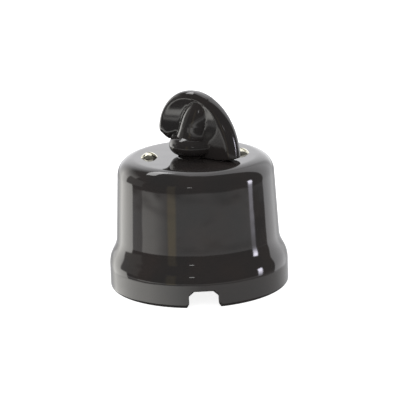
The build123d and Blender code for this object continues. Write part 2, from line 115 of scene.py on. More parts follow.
# The studio that the glaze mirrors. Heights are those of a direction, from -1 straight down to 1 straight
# up. Places are shares of a turn that starts in front and goes over the left, the back and the right. A band
# runs all round from its height up to the next. A set piece lies over the bands, and fades in between its
# first two places or heights and out between its last two.
Band = namedtuple("Band", "height level")
SetPiece = namedtuple("SetPiece", "places heights level tint")
BAND_EDGE = 0.01
STUDIO_BANDS = {
    "under the table": Band(-1.0, 0.15),
    "table": Band(-0.38, 0.8),
    "table's shade": Band(-0.28, 0.32),
    "low wall": Band(-0.23, 0.7),
    "dark room": Band(-0.19, 0.14),
}
WARM = (1.01, 1.0, 0.96)
COOL = (1.0, 1.0, 1.02)
BROWN = (1.15, 1.0, 0.7)
LILAC = (1.0, 0.97, 1.12)
BACK_PLACES = (0.39, 0.455, 0.57, 0.61)
POST_PLACES = (0.088, 0.096, 0.122, 0.13)
LOW_WALL_HEIGHTS = (-0.24, -0.225, -0.205, -0.18)
STUDIO_SET = {
    "lit table": SetPiece((0.0, 0.2, 0.39, 0.455), (-0.395, -0.37, -0.295, -0.27), 2.8, WARM),
    "low left wall": SetPiece((0.12, 0.19, 0.24, 0.245), LOW_WALL_HEIGHTS, 1.8, WARM),
    "left card": SetPiece((0.296, 0.301, 0.39, 0.455), (-0.295, -0.27, 0.15, 0.6), 2.8, WARM),
    "left drape": SetPiece((0.235, 0.245, 0.335, 0.342), (-0.1, -0.04, 0.34, 0.42), 0.4, WARM),
    "back floor": SetPiece(BACK_PLACES, (-0.395, -0.37, -0.08, -0.02), 0.75, COOL),
    "backdrop": SetPiece(BACK_PLACES, (-0.08, -0.02, 1.0, 1.0), 1.7, COOL),
    "right card": SetPiece((0.57, 0.61, 0.693, 0.697), (-0.295, -0.255, 1.0, 1.0), 1.6, COOL),
    "right flag": SetPiece((0.693, 0.697, 0.762, 0.768), LOW_WALL_HEIGHTS, 0.15, COOL),
    "strip lamp": SetPiece((0.76, 0.766, 0.781, 0.787), (-0.24, 0.05, 0.13, 0.21), 15.0, LILAC),
    "post": SetPiece(POST_PLACES, (-0.205, -0.18, 0.34, 0.42), 0.35, BROWN),
    "post foot": SetPiece(POST_PLACES, LOW_WALL_HEIGHTS, 1.15, BROWN),
}
STUDIO_PEAK = max(piece.level for piece in STUDIO_SET.values())

# How much lower the set stands at the back than at its sides, and the light that matt surfaces get all round
ROOM_TILT = 0.033
EVEN_LIGHT = 0.8

# The lamps and the floor, in metres
Lamp = namedtuple("Lamp", "place width height radiance")
STUDIO_LAMPS = {
    "top_panel": Lamp((-0.34, 0.42, 0.8), 0.5, 0.16, 5.0),
    "low_lamp": Lamp((-0.165, -0.76, 0.3), 0.09, 0.04, 5.0),
}
FLOOR_SIZE = 6.0
FLOOR_ROUGHNESS = 0.9
FLOOR_GLOW = 0.85

# The camera's sensor, in millimetres, and the least distance at which it sees, in metres
SENSOR_WIDTH = 36.0
NEAREST_SEEN = 0.01

# Sockets of the Mix node for colours, by number because their names repeat
MIX_UNDER = 6
MIX_OVER = 7
MIX_RESULT = 2


def length(name, description, default):
    """A length in metres that the sidebar shows."""
    return FloatProperty(
        name=name, description=description, default=default, min=0.0, subtype="DISTANCE", unit="LENGTH"
    )


def colour(name, description, default):
    """A colour that the sidebar shows."""
    return FloatVectorProperty(
        name=name, description=description, default=default, size=3, min=0.0, max=1.0, subtype="COLOR"
    )


def plain_number(name, description, default):
    """A number without a unit."""
    return FloatProperty(name=name, description=description, default=default, min=0.0)


def count(name, description, default, least):
    """A whole number."""
    return IntProperty(name=name, description=description, default=default, min=least)


def turn(name, description, degrees):
    """An angle that the sidebar shows in degrees."""
    return FloatProperty(name=name, description=description, default=math.radians(degrees), subtype="ANGLE")


class SwitchCoverSizes(bpy.types.PropertyGroup):
    """Sizes of the porcelain cover."""

    rim_radius: length("Rim Radius", "Outer radius of the foot rim", cover_high.x)
    rim_height: length("Rim Height", "Height where the flare starts", 7.8 * MM)
    rim_edge: length("Rim Edge", "Rounding of the foot's outer edge", 0.8 * MM)
    flare_height: length("Flare Height", "Height of the S between rim and body", 10.6 * MM)
    flare_share: plain_number("Flare Share", "Length of the S curve's handles as a share of its height", 0.5)
    body_foot_radius: length("Body Foot Radius", "Body radius above the flare", 29.55 * MM)
    body_top_radius: length("Body Top Radius", "Body radius at the height of the top", 28.0 * MM)
    height: length("Height", "Height of the flat top", cover_high.z)
    shoulder_radius: length("Shoulder Radius", "Rounding between body and top", 6.5 * MM)
    seat_radius: length("Seat Radius", "Inner radius that fits over the base", 27.4 * MM)
    mouth_height: length("Mouth Height", "Height where the inside starts to narrow", 14.0 * MM)
    taper_height: length("Taper Height", "Height of the inner taper", 6.0 * MM)
    cavity_radius: length("Cavity Radius", "Inner radius under the top", 24.2 * MM)
    ceiling_height: length("Ceiling Height", "Underside of the top", 41.8 * MM)
    ceiling_rounding: length("Ceiling Rounding", "Rounding of the inner corner", 3.0 * MM)
    neck_hole_radius: length("Neck Hole Radius", "Hole for the knob's neck", 6.1 * MM)
    hole_edge: length("Hole Edge", "Rounding of the neck hole's rim", 0.5 * MM)
    screw_offset: length("Screw Offset", "Distance of a cover screw from the axis", 16.5 * MM)
    screw_hole_radius: length("Screw Hole Radius", "Hole for a cover screw", 1.7 * MM)
    notch_foot_width: length("Notch Foot Width", "Width of the cable notch at the foot", 12.2 * MM)
    notch_width: length("Notch Width", "Width of the cable notch", 10.4 * MM)
    notch_crown_width: length("Notch Crown Width", "Width of the notch's flat crown", 6.2 * MM)
    notch_height: length("Notch Height", "Height of the cable notch", 6.3 * MM)
    notch_bevel: length("Notch Bevel", "Height of the bevel at the notch's foot", 1.6 * MM)
    notch_shoulder: length("Notch Shoulder", "Height of the slope beside the crown", 1.9 * MM)
    notch_edge: length("Notch Edge", "Rounding of the notch's edges", 0.35 * MM)
    steps: count("Steps", "Steps round the axis", 192, least=32)


class SwitchKnobSizes(bpy.types.PropertyGroup):
    """How finely the knob is worked and where it is softened."""

    voxel: length("Voxel", "Grain of the knob's skin", 0.2 * MM)
    softness: plain_number("Softness", "How far each smoothing pass goes", 0.5)
    passes: count("Passes", "Smoothing passes that round the edges as glaze does", 12, least=0)
    wing_foot: length("Wing Foot", "Height above the cover from which the wing flows softer", 3.6 * MM)
    wing_root: length("Wing Root", "Distance from the axis beyond which the wing flows softer", 10.0 * MM)
    collar_top: length("Collar Top", "Height above the cover up to which the collar stays crisp", 5.5 * MM)
    wing_passes: count("Wing Passes", "Further smoothing passes of the wing", 80, least=0)
    nose_turn: turn("Nose Turn", "Direction of the knob's nose", -40.0)
    hub_foot: length("Hub Foot", "Height above the cover where the hub starts to lean", 7.4 * MM)
    hub_radius: length("Hub Radius", "Radius about the hub's axis that stays crisp at its foot", 7.0 * MM)
    hub_lean: plain_number("Hub Lean", "How far the hub leans to the nose on its way up", 0.28)
    hub_taper: plain_number("Hub Taper", "How fast the hub narrows on its way up", 0.22)


class SwitchScrewSizes(bpy.types.PropertyGroup):
    """Sizes of a cover screw."""

    head_radius: length("Head Radius", "Radius of the dome head", 3.05 * MM)
    head_height: length("Head Height", "Height of the dome head", 1.7 * MM)
    shank_radius: length("Shank Radius", "Radius of the shank", 1.5 * MM)
    shank_length: length("Shank Length", "Length under the head", 15.0 * MM)
    slot_width: length("Slot Width", "Width of the driver slot", 0.8 * MM)
    slot_depth: length("Slot Depth", "Depth of the driver slot from the crown", 0.85 * MM)
    slot_turn: turn("Slot Turn", "Direction of the driver slot", -40.0)
    edge: length("Edge", "Rounding of the head's edges", 0.08 * MM)
    steps: count("Steps", "Steps round the axis", 64, least=16)


class SwitchFinishes(bpy.types.PropertyGroup):
    """Colours of the finishes."""

    glaze_deep: colour("Glaze Deep", "Black glaze where it lies thick", (0.0245, 0.0230, 0.0228))
    glaze_thin: colour("Glaze Thin", "Brown black glaze where it lies thin", (0.033, 0.0265, 0.0245))
    brass_light: colour("Brass Light", "Polished brass", (0.66, 0.64, 0.54))
    brass_dark: colour("Brass Dark", "Brass with a dull film", (0.36, 0.35, 0.28))
    steel: colour("Steel", "Zinc plated steel", (0.60, 0.61, 0.62))
    bronze: colour("Bronze", "Contact bronze", (0.72, 0.48, 0.30))
    porcelain: colour("Porcelain", "Unglazed white porcelain", (0.82, 0.80, 0.75))
    moulding: colour("Moulding", "Brown phenolic moulding", (0.10, 0.045, 0.025))


class SwitchStageSettings(bpy.types.PropertyGroup):
    """Camera and floor."""

    camera_distance: length("Camera Distance", "Distance from the camera to the switch", 700 * MM)
    camera_elevation: turn("Camera Elevation", "Camera angle above the floor", 16.13)
    camera_azimuth: turn("Camera Azimuth", "Camera angle round the switch", -2.2)
    camera_roll: turn("Camera Roll", "Tilt of the picture", 2.1)
    aim_height: length("Aim Height", "Height that the camera circles", 25 * MM)
    aim_right: length("Aim Right", "Shift of the aim to the right", 0.97 * MM)
    aim_up: length("Aim Up", "Shift of the aim upwards", 5.19 * MM)
    lens: FloatProperty(
        name="Lens", description="Focal length on a 36 mm sensor", default=173.5, min=1.0, unit="CAMERA"
    )
    floor_colour: colour("Floor", "White floor", (0.82, 0.82, 0.82))


def clear_selection():
    """Leaves edit mode and selects nothing."""
    if bpy.context.object and bpy.context.object.mode != "OBJECT":
        bpy.ops.object.mode_set(mode="OBJECT")
    bpy.ops.object.select_all(action="DESELECT")


def activate(piece):
    """Makes one object the only selected and active one."""
    clear_selection()
    piece.select_set(True)
    bpy.context.view_layer.objects.active = piece


def settle(piece):
    """Moves a piece's place, turn and scale into its mesh."""
    activate(piece)
    bpy.ops.object.transform_apply(location=True, rotation=True, scale=True)


def apply_modifier(piece, kind, **settings):
    """Adds a modifier with these settings to a piece and applies it."""
    activate(piece)
    bpy.ops.object.modifier_add(type=kind)
    modifier = piece.modifiers[-1]
    for setting, value in settings.items():
        setattr(modifier, setting, value)
    bpy.ops.object.modifier_apply(modifier=modifier.name)


def merge_points(gap):
    """Makes one point of those in edit mode that lie closer than the gap, and leaves all selected."""
    bpy.ops.mesh.select_all(action="SELECT")
    bpy.ops.mesh.remove_doubles(threshold=gap)
    bpy.ops.mesh.select_all(action="SELECT")


def draw_outline(name, points):
    """A chain of edges through the points: one vertex, extruded from point to point.

    It stays in edit mode.
    """
    clear_selection()
    bpy.ops.mesh.primitive_plane_add(size=MM, location=(0.0, 0.0, 0.0))
    piece = bpy.context.object
    piece.name = piece.data.name = name
    bpy.ops.object.mode_set(mode="EDIT")
    bpy.ops.mesh.select_mode(type="VERT")
    bpy.ops.mesh.select_all(action="SELECT")
    bpy.ops.mesh.merge(type="CENTER")
    bpy.ops.transform.translate(value=points[0])
    for before, after in zip(points, points[1:]):
        bpy.ops.mesh.extrude_region_move(TRANSFORM_OT_translate={"value": Vector(after) - Vector(before)})
    merge_points(OUTLINE_GAP)
    return piece


def close_skin():
    """Merges the seams of the mesh in edit mode, turns its faces outwards and leaves edit mode."""
    merge_points(SEAM_GAP)
    bpy.ops.mesh.normals_make_consistent(inside=False)
    bpy.ops.object.mode_set(mode="OBJECT")


def spin_outline(name, outline, steps):
    """Turns an outline of (radius, height) points about the Z axis into a closed skin."""
    piece = draw_outline(name, [(radius, 0.0, level) for radius, level in outline])
    bpy.ops.mesh.spin(steps=steps, angle=2.0 * math.pi, center=(0.0, 0.0, 0.0), axis=(0.0, 0.0, 1.0))
    close_skin()
    return piece


def extrude_outline(name, points, travel):
    """Fills a flat outline and draws it out along travel."""
    piece = draw_outline(name, list(points) + [points[0]])
    bpy.ops.mesh.edge_face_add()
    bpy.ops.mesh.extrude_region_move(TRANSFORM_OT_translate={"value": travel})
    close_skin()
    return piece


def join(pieces):
    """Joins objects into the first one."""
    activate(pieces[0])
    for piece in pieces[1:]:
        piece.select_set(True)
    bpy.ops.object.join()
    return pieces[0]


def cut(piece, cutter):
    """Cuts the cutter's shape out of the piece and removes the cutter."""
    apply_modifier(piece, "BOOLEAN", operation="DIFFERENCE", solver="EXACT", object=cutter)
    bpy.data.objects.remove(cutter, do_unlink=True)


def is_sharp(edge, angle):
    """Whether two faces meet at the edge at more than the angle in degrees."""
    return len(edge.link_faces) == 2 and edge.calc_face_angle() > math.radians(angle)


def bevel_edges(piece, width, segments, wanted):
    """Rounds the edges that wanted(edge) picks."""
    activate(piece)
    bpy.ops.object.mode_set(mode="EDIT")
    bpy.ops.mesh.select_mode(type="EDGE")
    bpy.ops.mesh.select_all(action="DESELECT")
    mesh = bmesh.from_edit_mesh(piece.data)
    for edge in mesh.edges:
        edge.select_set(wanted(edge))
    bmesh.update_edit_mesh(piece.data)
    bpy.ops.mesh.bevel(
        offset=width, offset_type="OFFSET", segments=segments, profile=0.5, affect="EDGES", clamp_overlap=True
    )
    bpy.ops.object.mode_set(mode="OBJECT")


def smooth(piece, angle):
    """Shades the piece smooth except across edges sharper than the angle in degrees."""
    activate(piece)
    bpy.ops.object.shade_smooth_by_angle(angle=math.radians(angle))


def dress(piece, material, body, node):
    """Gives a new piece its finish, its body and the node it stands for."""
    if not piece.data.polygons:
        raise RuntimeError(f"{piece.name} came out without faces")
    piece.data.materials.clear()
    piece.data.materials.append(material)
    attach(piece, body)
    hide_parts(node)


def arc(centre, radius, start, end, steps):
    """Points of an arc in the (radius, height) plane, angles in radians."""
    angles = [start + (end - start) * step / steps for step in range(steps + 1)]
    return [(centre[0] + radius * math.cos(angle), centre[1] + radius * math.sin(angle)) for angle in angles]


def straight(first, last, steps):
    """Points between two others, so that the shading of a wall doesn't bend towards its ends."""
    return [tuple(a + (b - a) * step / steps for a, b in zip(first, last)) for step in range(1, steps)]


def bezier(first, first_handle, last_handle, last, steps):
    """Points of a cubic curve in the (radius, height) plane."""
    corners = (first, first_handle, last_handle, last)
    points = []
    for step in range(steps + 1):
        along = step / steps
        back = 1.0 - along
        shares = (back**3, 3.0 * back**2 * along, 3.0 * back * along**2, along**3)
        radius, level = (
            sum(share * corner[axis] for share, corner in zip(shares, corners)) for axis in (0, 1)
        )
        points.append((radius, level))
    return points


def new_finish(name):
    """A new material with its shader and Object coordinates."""
    material = bpy.data.materials.new(name)
    material.use_nodes = True
    nodes, links = material.node_tree.nodes, material.node_tree.links
    shader = nodes["Principled BSDF"]
    place = nodes.new("ShaderNodeTexCoord")
    return material, nodes, links, shader, place.outputs["Object"]


def noise(nodes, links, place, grains, detail, roughness=0.5):
    """A noise pattern of that many grains to the metre."""
    pattern = nodes.new("ShaderNodeTexNoise")
    pattern.inputs["Scale"].default_value = grains
    pattern.inputs["Detail"].default_value = detail
    pattern.inputs["Roughness"].default_value = roughness
    links.new(place, pattern.inputs["Vector"])
    return pattern.outputs["Fac"]


def ramp(nodes, links, value, stops):
    """A colour ramp over (position, colour) stops."""
    colours = nodes.new("ShaderNodeValToRGB")
    elements = colours.color_ramp.elements
    while len(elements) < len(stops):
        elements.new(position=0.5)
    for element, (position, shade) in zip(elements, stops):
        element.position = position
        element.color = (*shade, 1.0)
    links.new(value, colours.inputs["Fac"])
    return colours.outputs["Color"]


def two_tone(nodes, links, pattern, shader, first, last, start, end):
    """Tints the shader from the first to the last colour between two values of a pattern."""
    tint = ramp(nodes, links, pattern, [(start, first), (end, last)])
    links.new(tint, shader.inputs["Base Color"])


def uneven_gloss(nodes, links, pattern, shader, low, high):
    """Spreads the shader's roughness between two limits by a pattern."""
    limits = nodes.new("ShaderNodeMapRange")
    limits.inputs["To Min"].default_value = low
    limits.inputs["To Max"].default_value = high
    links.new(pattern, limits.inputs["Value"])
    links.new(limits.outputs["Result"], shader.inputs["Roughness"])


def bump(nodes, links, pattern, shader, strength, depth):
    """Raises the surface by a pattern."""
    relief = nodes.new("ShaderNodeBump")
    relief.inputs["Strength"].default_value = strength
    relief.inputs["Distance"].default_value = depth
    links.new(pattern, relief.inputs["Height"])
    links.new(relief.outputs["Normal"], shader.inputs["Normal"])


def black_glaze(name, low_roughness, high_roughness, paleness):
    """Black porcelain glaze: a deep mirror skin, a little brown and uneven."""
    finishes = bpy.context.scene.switch_finishes
    deep, thin = (
        [paleness * share for share in shade] for shade in (finishes.glaze_deep, finishes.glaze_thin)
    )
    material, nodes, links, shader, place = new_finish(name)
    mottle = noise(nodes, links, place, grains=70.0, detail=4.0)
    two_tone(nodes, links, mottle, shader, deep, thin, start=0.35, end=0.75)
    haze = noise(nodes, links, place, grains=160.0, detail=2.0)
    uneven_gloss(nodes, links, haze, shader, low_roughness, high_roughness)
    shader.inputs["IOR"].default_value = 1.52
    ripple = noise(nodes, links, place, grains=110.0, detail=1.0)
    bump(nodes, links, ripple, shader, strength=0.22, depth=0.3 * MM)
    return material


def brass():
    """Brass with a thin dull film and fine turning marks, mixed once for all brass pieces."""
    if "brass_finish" in bpy.data.materials:
        return bpy.data.materials["brass_finish"]
    finishes = bpy.context.scene.switch_finishes
    material, nodes, links, shader, place = new_finish("brass_finish")
    film = noise(nodes, links, place, grains=900.0, detail=4.0)
    two_tone(nodes, links, film, shader, finishes.brass_light, finishes.brass_dark, start=0.35, end=0.8)
    shader.inputs["Metallic"].default_value = 1.0
    uneven_gloss(nodes, links, film, shader, low=0.12, high=0.28)
    marks = noise(nodes, links, place, grains=2500.0, detail=2.0)
    bump(nodes, links, marks, shader, strength=0.15, depth=0.02 * MM)
    return material


def plain_metal(name, shade, low_roughness, high_roughness):
    """A plain metal finish with a fine grain."""
    material, nodes, links, shader, place = new_finish(name)
    grain = noise(nodes, links, place, grains=1400.0, detail=4.0)
    dull = tuple(GRAIN_SHADE * share for share in shade)
    two_tone(nodes, links, grain, shader, shade, dull, start=0.3, end=0.8)
    shader.inputs["Metallic"].default_value = 1.0
    uneven_gloss(nodes, links, grain, shader, low_roughness, high_roughness)
    bump(nodes, links, grain, shader, strength=0.1, depth=0.02 * MM)
    return material


def fired_body(name, shade, roughness, grains, depth):
    """A matt fired or moulded body with specks."""
    material, nodes, links, shader, place = new_finish(name)
    specks = noise(nodes, links, place, grains, detail=6.0, roughness=0.65)
    darker = tuple(SPECK_SHADE * share for share in shade)
    two_tone(nodes, links, specks, shader, darker, shade, start=0.25, end=0.5)
    uneven_gloss(nodes, links, specks, shader, roughness, roughness + SPECK_ROUGHNESS)
    bump(nodes, links, specks, shader, strength=0.2, depth=depth)
    return material


def paint_nodes(names, material):
    """Gives solids that keep their shape a finish."""
    for name in names:
        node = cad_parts[name]
        node.data.materials.clear()
        node.data.materials.append(material)
        for face in node.data.polygons:
            face.material_index = 0


def cover_outline(sizes):
    """The cover's wall in the (radius, height) plane: up the outside, over the top and down the inside."""
    flare_top = sizes.rim_height + sizes.flare_height
    lean = math.atan2(sizes.body_foot_radius - sizes.body_top_radius, sizes.height - flare_top)
    arm = sizes.flare_share * sizes.flare_height
    shoulder_inset = sizes.shoulder_radius * (1.0 - math.sin(lean)) / math.cos(lean)
    shoulder_middle = (sizes.body_top_radius - shoulder_inset, sizes.height - sizes.shoulder_radius)
    shoulder = arc(shoulder_middle, sizes.shoulder_radius, lean, math.pi / 2, SHOULDER_STEPS)
    rim_middle = (sizes.rim_radius - sizes.rim_edge, sizes.rim_edge)
    rim_top = (sizes.rim_radius, sizes.rim_height)
    hole_middle = (sizes.neck_hole_radius + sizes.hole_edge, sizes.height - sizes.hole_edge)
    ceiling_middle = (
        sizes.cavity_radius - sizes.ceiling_rounding,
        sizes.ceiling_height - sizes.ceiling_rounding,
    )
    outline = [(sizes.seat_radius, 0.0)]
    outline += arc(rim_middle, sizes.rim_edge, -math.pi / 2, 0.0, RIM_EDGE_STEPS)
    outline += straight(outline[-1], rim_top, RIM_STEPS)
    outline += bezier(
        rim_top,
        (sizes.rim_radius, sizes.rim_height + arm),
        (sizes.body_foot_radius + arm * math.tan(lean), flare_top - arm),
        (sizes.body_foot_radius, flare_top),
        FLARE_STEPS,
    )
    outline += straight(outline[-1], shoulder[0], BODY_STEPS)
    outline += shoulder
    outline += straight(shoulder[-1], (hole_middle[0], sizes.height), TOP_STEPS)
    outline += arc(hole_middle, sizes.hole_edge, math.pi / 2, math.pi, HOLE_EDGE_STEPS)
    outline += [(sizes.neck_hole_radius, sizes.ceiling_height)]
    outline += arc(ceiling_middle, sizes.ceiling_rounding, math.pi / 2, 0.0, CEILING_STEPS)
    outline += [
        (sizes.cavity_radius, sizes.mouth_height + sizes.taper_height),
        (sizes.seat_radius, sizes.mouth_height),
        (sizes.seat_radius, 0.0),
    ]
    return outline


def notch_cutter(sizes):
    """The cable notch's shape, drawn out through the front of the rim."""
    half_foot, half, half_crown = (
        0.5 * width for width in (sizes.notch_foot_width, sizes.notch_width, sizes.notch_crown_width)
    )
    side = [
        (half_foot, -sizes.rim_height),
        (half_foot, 0.0),
        (half, sizes.notch_bevel),
        (half, sizes.notch_height - sizes.notch_shoulder),
        (half_crown, sizes.notch_height),
    ]
    start = -NOTCH_START * sizes.seat_radius
    arch = [(across, start, level) for across, level in side]
    arch += [(-across, start, level) for across, level in reversed(side)]
    return extrude_outline("notch_cutter", arch, (0.0, -sizes.rim_radius, 0.0))


def screw_hole_cutter(sizes, offset):
    """A cylinder through the cover's top, twice as long as the top is thick."""
    clear_selection()
    bpy.ops.mesh.primitive_cylinder_add(
        vertices=SCREW_HOLE_SIDES,
        radius=sizes.screw_hole_radius,
        depth=2.0 * (sizes.height - sizes.ceiling_height),
        location=(offset, 0.0, 0.5 * (sizes.height + sizes.ceiling_height)),
    )
    return bpy.context.object


class SwitchCover(bpy.types.Operator):
    """Turn the porcelain cover, cut its cable notch and screw holes, and glaze it"""

    bl_idname = "object.switch_cover"
    bl_label = "Cover"

    def execute(self, context):
        sizes = context.scene.switch_cover
        cover = spin_outline("cover_glazed", cover_outline(sizes), sizes.steps)
        cutters = [notch_cutter(sizes)]
        for offset in (-sizes.screw_offset, sizes.screw_offset):
            cutters.append(screw_hole_cutter(sizes, offset))
        for cutter in cutters:
            settle(cutter)
        cut(cover, join(cutters))

        def notch_edge(edge):
            middle = 0.5 * (edge.verts[0].co + edge.verts[1].co)
            in_width = abs(middle.x) < 0.5 * sizes.notch_foot_width + NOTCH_MARGIN
            in_front = middle.y < -NOTCH_DEPTH * sizes.seat_radius
            low = middle.z < sizes.notch_height + NOTCH_MARGIN
            return in_width and in_front and low and is_sharp(edge, COVER_SHARP)

        bevel_edges(cover, sizes.notch_edge, NOTCH_EDGE_STEPS, notch_edge)
        smooth(cover, COVER_SHARP)
        glaze = black_glaze("cover_glaze_finish", low_roughness=0.02, high_roughness=0.05, paleness=1.0)
        dress(cover, glaze, "housing", "cover")
        return {"FINISHED"}


def copy_of_solid(node, name):
    """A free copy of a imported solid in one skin, without the solid's own marks."""
    activate(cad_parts[node])
    bpy.ops.object.duplicate()
    piece = bpy.context.object
    piece.name = piece.data.name = name
    for key in list(piece.keys()):
        del piece[key]
    piece.parent = None
    piece.matrix_world = Matrix.Identity(4)
    bpy.ops.object.mode_set(mode="EDIT")
    bpy.ops.mesh.select_all(action="SELECT")
    bpy.ops.mesh.customdata_custom_splitnormals_clear()
    merge_points(SEAM_GAP)
    bpy.ops.object.mode_set(mode="OBJECT")
    return piece


def mark_wing(knob, sizes, top):
    """Marks the knob's wing, without its hub and collar, and gives the group's name."""
    wing = knob.vertex_groups.new(name="wing")
    nose = Vector((math.cos(sizes.nose_turn), math.sin(sizes.nose_turn)))
    for vertex in knob.data.vertices:
        rise = vertex.co.z - top - sizes.hub_foot
        from_hub = (vertex.co.xy - nose * sizes.hub_lean * rise).length
        low = sizes.wing_foot if vertex.co.xy.length > sizes.wing_root else sizes.collar_top
        on_wing = vertex.co.z > top + low
        if on_wing and from_hub > sizes.hub_radius - sizes.hub_taper * rise:
            wing.add([vertex.index], 1.0, "REPLACE")
    return wing.name


class SwitchKnob(bpy.types.Operator):
    """Work the wing knob from its solid, with the edges drawn soft as under a glaze"""

    bl_idname = "object.switch_knob"
    bl_label = "Knob"

    def execute(self, context):
        sizes = context.scene.switch_knob
        knob = copy_of_solid("knob", "knob_glazed")
        apply_modifier(knob, "REMESH", mode="VOXEL", voxel_size=sizes.voxel)
        wing = mark_wing(knob, sizes, context.scene.switch_cover.height)
        for passes, group in ((sizes.passes, ""), (sizes.wing_passes, wing)):
            apply_modifier(knob, "SMOOTH", factor=sizes.softness, iterations=passes, vertex_group=group)
        smooth(knob, KNOB_SHARP)
        # The knob's glaze is the cover's glaze darkened to 0.8 of its colour: painted shade that makes the
        # whole knob look darker than the cover.
        glaze = black_glaze("knob_glaze_finish", low_roughness=0.09, high_roughness=0.14, paleness=0.8)
        dress(knob, glaze, "rotor", "knob")
        return {"FINISHED"}


def screw_outline(sizes, top):
    """Half a screw in the (radius, height) plane, from the foot of its shank to the crown of its dome."""
    dome_radius = (sizes.head_radius**2 + sizes.head_height**2) / (2.0 * sizes.head_height)
    dome_middle = (0.0, top + sizes.head_height - dome_radius)
    rim_angle = math.acos(sizes.head_radius / dome_radius)
    outline = [(0.0, top - sizes.shank_length), (sizes.shank_radius, top - sizes.shank_length)]
    outline += [(sizes.shank_radius, top)]
    outline += arc(dome_middle, dome_radius, rim_angle, math.pi / 2, DOME_STEPS)
    return outline


def slot_cutter(sizes, top):
    """A bar across the screw's crown, half of it in the head."""
    clear_selection()
    bpy.ops.mesh.primitive_cube_add(
        size=1.0,
        location=(0.0, 0.0, top + sizes.head_height),
        rotation=(0.0, 0.0, sizes.slot_turn),
        scale=(SLOT_REACH * sizes.head_radius, sizes.slot_width, 2.0 * sizes.slot_depth),
    )
    slot = bpy.context.object
    settle(slot)
    return slot


class SwitchCoverScrews(bpy.types.Operator):
    """Turn one slotted dome screw, copy it to the other side and finish both in brass"""

    bl_idname = "object.switch_cover_screws"
    bl_label = "Cover Screws"

    def execute(self, context):
        sizes = context.scene.switch_screws
        cover = context.scene.switch_cover
        top = cover.height
        screw = spin_outline("cover_screws_brass", screw_outline(sizes, top), sizes.steps)
        cut(screw, slot_cutter(sizes, top))

        def head_edge(edge):
            low = min(vertex.co.z for vertex in edge.verts)
            return low > top - HEAD_MARGIN and is_sharp(edge, SCREW_SHARP)

        bevel_edges(screw, sizes.edge, SCREW_EDGE_STEPS, head_edge)
        activate(screw)
        bpy.ops.object.duplicate()
        copy = context.object
        for piece, offset in ((screw, -cover.screw_offset), (copy, cover.screw_offset)):
            piece.location.x = offset
            settle(piece)
        join([screw, copy])
        smooth(screw, SCREW_SHARP)
        dress(screw, brass(), "housing", "cover_screws")
        return {"FINISHED"}


class SwitchBase(bpy.types.Operator):
    """Finish the porcelain base"""

    bl_idname = "object.switch_base"
    bl_label = "Base"

    def execute(self, context):
        shade = context.scene.switch_finishes.porcelain
        porcelain = fired_body(
            "white_porcelain_finish", shade, roughness=0.35, grains=500.0, depth=0.05 * MM
        )
        paint_nodes(("base",), porcelain)
        return {"FINISHED"}


class SwitchBrassWorks(bpy.types.Operator):
    """Finish the brass pillars, terminals, spindle and screws inside"""

    bl_idname = "object.switch_brass_works"
    bl_label = "Brass Works"

    def execute(self, context):
        paint_nodes(BRASS_WORKS, brass())
        return {"FINISHED"}


class SwitchSteelWorks(bpy.types.Operator):
    """Finish the steel bridge, stops, screws, washer and spring inside"""

    bl_idname = "object.switch_steel_works"
    bl_label = "Steel Works"

    def execute(self, context):
        shade = context.scene.switch_finishes.steel
        steel = plain_metal("steel_finish", shade, low_roughness=0.25, high_roughness=0.45)
        paint_nodes(STEEL_WORKS, steel)
        return {"FINISHED"}


class SwitchContacts(bpy.types.Operator):
    """Finish the bronze contact fingers and segments"""

    bl_idname = "object.switch_contacts"
    bl_label = "Contacts"

    def execute(self, context):
        shade = context.scene.switch_finishes.bronze
        bronze = plain_metal("bronze_finish", shade, low_roughness=0.25, high_roughness=0.4)
        paint_nodes(BRONZE_WORKS, bronze)
        return {"FINISHED"}


class SwitchRotor(bpy.types.Operator):
    """Finish the moulded rotor"""

    bl_idname = "object.switch_rotor"
    bl_label = "Rotor"

    def execute(self, context):
        shade = context.scene.switch_finishes.moulding
        moulding = fired_body("phenolic_finish", shade, roughness=0.4, grains=900.0, depth=0.03 * MM)
        paint_nodes(("rotor",), moulding)
        return {"FINISHED"}


def area_light(name, lamp, target):
    """A soft panel of the lamp's radiance, turned towards the target and unseen by the camera."""
    clear_selection()
    bpy.ops.object.light_add(type="AREA", location=lamp.place)
    panel = bpy.context.object
    panel.name = panel.data.name = name
    panel.data.shape = "RECTANGLE"
    panel.data.size = lamp.width
    panel.data.size_y = lamp.height
    panel.data.energy = lamp.radiance * math.pi * lamp.width * lamp.height
    panel.rotation_euler = (Vector(target) - Vector(lamp.place)).to_track_quat("-Z", "Y").to_euler()
    panel.visible_camera = False


def grey(level):
    """A colour without hue."""
    return (level, level, level)


def mix_shaders(nodes, links, share, first, last):
    """The first shader where the share is 0, and the last where it is 1."""
    mix = nodes.new("ShaderNodeMixShader")
    for socket, source in zip(mix.inputs, (share, first, last)):
        links.new(source, socket)
    return mix.outputs["Shader"]


def floor_finish(shade):
    """White floor that the camera sees bright, with a light shadow."""
    material, nodes, links, shader, _ = new_finish("studio_floor")
    shader.inputs["Base Color"].default_value = (*shade, 1.0)
    shader.inputs["Roughness"].default_value = FLOOR_ROUGHNESS
    shader.inputs["Specular IOR Level"].default_value = 0.0
    rays = nodes.new("ShaderNodeLightPath")
    glow = nodes.new("ShaderNodeEmission")
    glow.inputs["Color"].default_value = (*grey(1.0), 1.0)
    glow.inputs["Strength"].default_value = FLOOR_GLOW
    bright = nodes.new("ShaderNodeAddShader")
    links.new(glow.outputs["Emission"], bright.inputs[0])
    links.new(shader.outputs["BSDF"], bright.inputs[1])
    shown = mix_shaders(
        nodes, links, rays.outputs["Is Camera Ray"], shader.outputs["BSDF"], bright.outputs["Shader"]
    )
    links.new(shown, nodes["Material Output"].inputs["Surface"])
    return material


